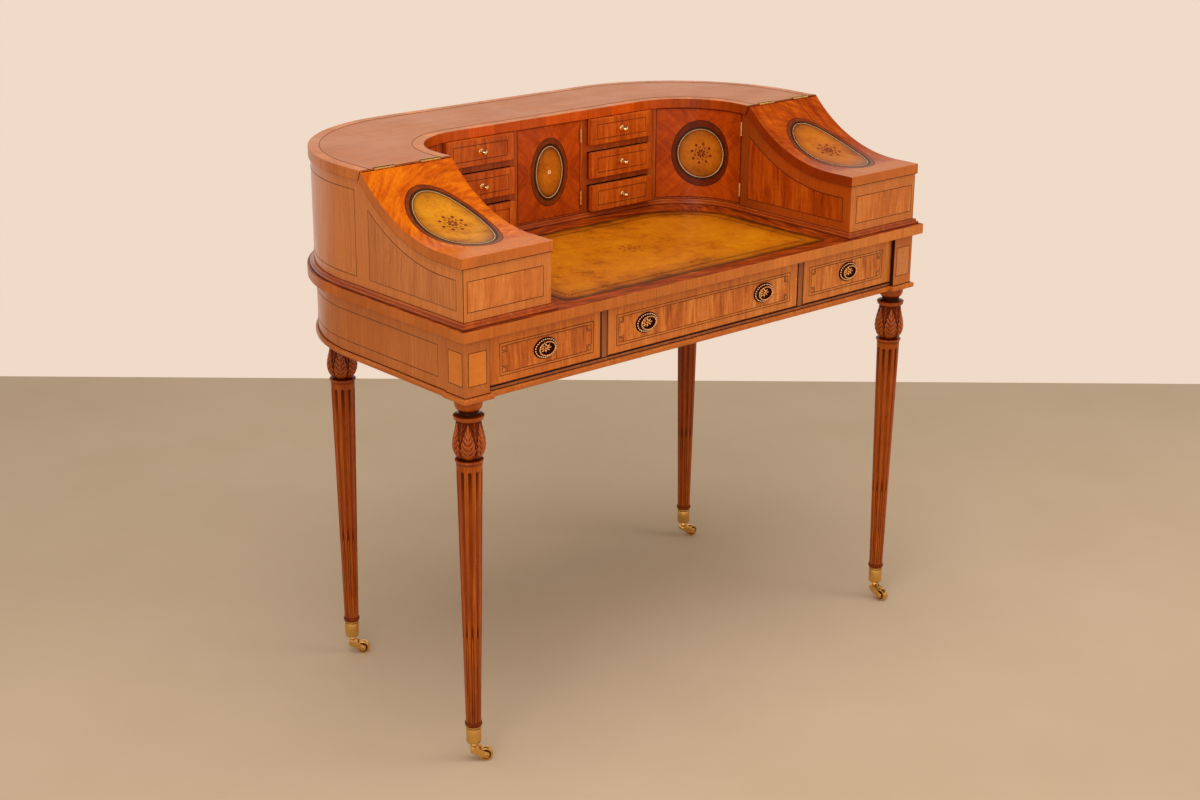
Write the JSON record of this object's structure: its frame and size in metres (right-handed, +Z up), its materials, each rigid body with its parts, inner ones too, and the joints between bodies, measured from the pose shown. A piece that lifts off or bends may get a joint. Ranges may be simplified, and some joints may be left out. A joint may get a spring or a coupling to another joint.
{
  "type": "carlton house desk",
  "caption": "Writing desk with a curved gallery of small drawers and cupboards, lidded wells in its wings, a leather top, a drawer frieze and fluted legs on castors.",
  "frame": {"origin": "on the floor under the middle of the writing top", "axes": "+X the sitter's right, +Y the back of the desk, +Z up"},
  "size_m": [1.1, 0.653, 0.9885],
  "materials": {
    "case_veneer": "orange brown straight-grained veneer, satin polish",
    "top_veneer": "crossbanded brown veneer, satin polish",
    "lid_veneer": "bright orange figured veneer with oval leather insets",
    "dark_moulding": "red brown polished moulding",
    "inner_wood": "plain polished carcase wood",
    "leg_wood": "turned, fluted and carved, with dark glaze in the hollows",
    "writing_leather": "golden ochre hide with a tooled line and aged edges",
    "antique_brass": "aged brass, dark in the hollows",
    "bright_brass": "polished brass",
    "hinge_brass": "dull brass"
  },
  "bodies": {
    "desk": {"writing_top": "top_veneer", "leather_panel": "writing_leather", "front_frame": "case_veneer", "frieze_apron": "case_veneer", "base_moulding": "dark_moulding", "leg_ferrules": "antique_brass", "drawer_runners": "inner_wood", "wing_panels": "case_veneer", "outer_wall_left": "case_veneer", "outer_wall_right": "case_veneer", "back_wall": "case_veneer", "gallery_bead": "dark_moulding", "gallery_floor": "inner_wood", "gallery_partitions": "inner_wood", "upper_shelf": "top_veneer", "fixed_hinges": "hinge_brass", "leg_front_left": "leg_wood", "leg_front_right": "leg_wood", "leg_back_left": "leg_wood", "leg_back_right": "leg_wood"},
    "lid_left": {"lid_left": "lid_veneer", "lid_hinges_left": "hinge_brass"},
    "lid_right": {"lid_right": "lid_veneer", "lid_hinges_right": "hinge_brass"},
    "door_centre": {"centre_door": "lid_veneer", "centre_door_hinges": "hinge_brass"},
    "door_left": {"corner_door_left": "lid_veneer", "corner_door_hinges_left": "hinge_brass"},
    "door_right": {"corner_door_right": "lid_veneer", "corner_door_hinges_right": "hinge_brass"},
    "drawer_left": {"frieze_drawer_left": "case_veneer", "pull_plates_left": "antique_brass"},
    "drawer_centre": {"frieze_drawer_centre": "case_veneer", "pull_plates_centre": "antique_brass"},
    "drawer_right": {"frieze_drawer_right": "case_veneer", "pull_plates_right": "antique_brass"},
    "ring_left": {"pull_ring_left": "antique_brass"},
    "ring_centre_left": {"pull_ring_centre_left": "antique_brass"},
    "ring_centre_right": {"pull_ring_centre_right": "antique_brass"},
    "ring_right": {"pull_ring_right": "antique_brass"},
    "small_left_top": {"small_drawer_left_top": "case_veneer", "knob_left_top": "bright_brass"},
    "small_left_middle": {"small_drawer_left_middle": "case_veneer", "knob_left_middle": "bright_brass"},
    "small_left_bottom": {"small_drawer_left_bottom": "case_veneer", "knob_left_bottom": "bright_brass"},
    "small_right_top": {"small_drawer_right_top": "case_veneer", "knob_right_top": "bright_brass"},
    "small_right_middle": {"small_drawer_right_middle": "case_veneer", "knob_right_middle": "bright_brass"},
    "small_right_bottom": {"small_drawer_right_bottom": "case_veneer", "knob_right_bottom": "bright_brass"},
    "castor_front_left": {"castor_fork_front_left": "antique_brass"},
    "wheel_front_left": {"castor_wheel_front_left": "antique_brass"},
    "castor_front_right": {"castor_fork_front_right": "antique_brass"},
    "wheel_front_right": {"castor_wheel_front_right": "antique_brass"},
    "castor_back_left": {"castor_fork_back_left": "antique_brass"},
    "wheel_back_left": {"castor_wheel_back_left": "antique_brass"},
    "castor_back_right": {"castor_fork_back_right": "antique_brass"},
    "wheel_back_right": {"castor_wheel_back_right": "antique_brass"}
  },
  "joints": [
    {"name": "lid_left_hinge", "type": "hinge", "parent": "desk", "child": "lid_left", "pos_m": [-0.4485, -0.0461, 0.9855], "axis": [-1, 0, 0], "range_deg": [0, 105]},
    {"name": "lid_right_hinge", "type": "hinge", "parent": "desk", "child": "lid_right", "pos_m": [0.4485, -0.0461, 0.9855], "axis": [-1, 0, 0], "range_deg": [0, 105]},
    {"name": "door_centre_hinge", "type": "hinge", "parent": "desk", "child": "door_centre", "pos_m": [0.0763, 0.121, 0.8775], "axis": [0, 0, 1], "range_deg": [0, 110]},
    {"name": "door_left_hinge", "type": "hinge", "parent": "desk", "child": "door_left", "pos_m": [-0.3567, -0.0252, 0.8775], "axis": [0, 0, -1], "range_deg": [0, 110]},
    {"name": "door_right_hinge", "type": "hinge", "parent": "desk", "child": "door_right", "pos_m": [0.3567, -0.0252, 0.8775], "axis": [0, 0, 1], "range_deg": [0, 110]},
    {"name": "drawer_left_slide", "type": "slide", "parent": "desk", "child": "drawer_left", "axis": [0, -1, 0], "range_m": [0, 0.3]},
    {"name": "drawer_centre_slide", "type": "slide", "parent": "desk", "child": "drawer_centre", "axis": [0, -1, 0], "range_m": [0, 0.3]},
    {"name": "drawer_right_slide", "type": "slide", "parent": "desk", "child": "drawer_right", "axis": [0, -1, 0], "range_m": [0, 0.3]},
    {"name": "ring_left_swing", "type": "hinge", "parent": "drawer_left", "child": "ring_left", "pos_m": [-0.36625, -0.3109, 0.7234], "axis": [-1, 0, 0], "range_deg": [0, 85]},
    {"name": "ring_centre_left_swing", "type": "hinge", "parent": "drawer_centre", "child": "ring_centre_left", "pos_m": [-0.142, -0.3109, 0.7234], "axis": [-1, 0, 0], "range_deg": [0, 85]},
    {"name": "ring_centre_right_swing", "type": "hinge", "parent": "drawer_centre", "child": "ring_centre_right", "pos_m": [0.142, -0.3109, 0.7234], "axis": [-1, 0, 0], "range_deg": [0, 85]},
    {"name": "ring_right_swing", "type": "hinge", "parent": "drawer_right", "child": "ring_right", "pos_m": [0.36625, -0.3109, 0.7234], "axis": [-1, 0, 0], "range_deg": [0, 85]},
    {"name": "small_left_top_slide", "type": "slide", "parent": "desk", "child": "small_left_top", "axis": [0, 1, 0], "range_m": [-0.098, 0.012]},
    {"name": "small_left_middle_slide", "type": "slide", "parent": "desk", "child": "small_left_middle", "axis": [0, 1, 0], "range_m": [-0.0955, 0.0145]},
    {"name": "small_left_bottom_slide", "type": "slide", "parent": "desk", "child": "small_left_bottom", "axis": [0, 1, 0], "range_m": [-0.094, 0.016]},
    {"name": "small_right_top_slide", "type": "slide", "parent": "desk", "child": "small_right_top", "axis": [0, 1, 0], "range_m": [-0.098, 0.012]},
    {"name": "small_right_middle_slide", "type": "slide", "parent": "desk", "child": "small_right_middle", "axis": [0, 1, 0], "range_m": [-0.0955, 0.0145]},
    {"name": "small_right_bottom_slide", "type": "slide", "parent": "desk", "child": "small_right_bottom", "axis": [0, 1, 0], "range_m": [-0.094, 0.016]},
    {"name": "castor_front_left_swivel", "type": "hinge", "parent": "desk", "child": "castor_front_left", "pos_m": [-0.5126, -0.2875, 0.038], "axis": [0, 0, 1], "continuous": true},
    {"name": "wheel_front_left_spin", "type": "hinge", "parent": "castor_front_left", "child": "wheel_front_left", "pos_m": [-0.49602, -0.29868, 0.012], "axis": [0.5592, 0.829, 0], "continuous": true},
    {"name": "castor_front_right_swivel", "type": "hinge", "parent": "desk", "child": "castor_front_right", "pos_m": [0.5126, -0.2875, 0.038], "axis": [0, 0, 1], "continuous": true},
    {"name": "wheel_front_right_spin", "type": "hinge", "parent": "castor_front_right", "child": "wheel_front_right", "pos_m": [0.51225, -0.3075, 0.012], "axis": [0.9998, -0.0175, 0], "continuous": true},
    {"name": "castor_back_left_swivel", "type": "hinge", "parent": "desk", "child": "castor_back_left", "pos_m": [-0.43264, 0.19015, 0.038], "axis": [0, 0, 1], "continuous": true},
    {"name": "wheel_back_left_spin", "type": "hinge", "parent": "castor_back_left", "child": "wheel_back_left", "pos_m": [-0.41755, 0.17703, 0.012], "axis": [0.6561, 0.7547, 0], "continuous": true},
    {"name": "castor_back_right_swivel", "type": "hinge", "parent": "desk", "child": "castor_back_right", "pos_m": [0.43264, 0.19015, 0.038], "axis": [0, 0, 1], "continuous": true},
    {"name": "wheel_back_right_spin", "type": "hinge", "parent": "castor_back_right", "child": "wheel_back_right", "pos_m": [0.45227, 0.18634, 0.012], "axis": [0.1908, 0.9816, 0], "continuous": true}
  ]
}
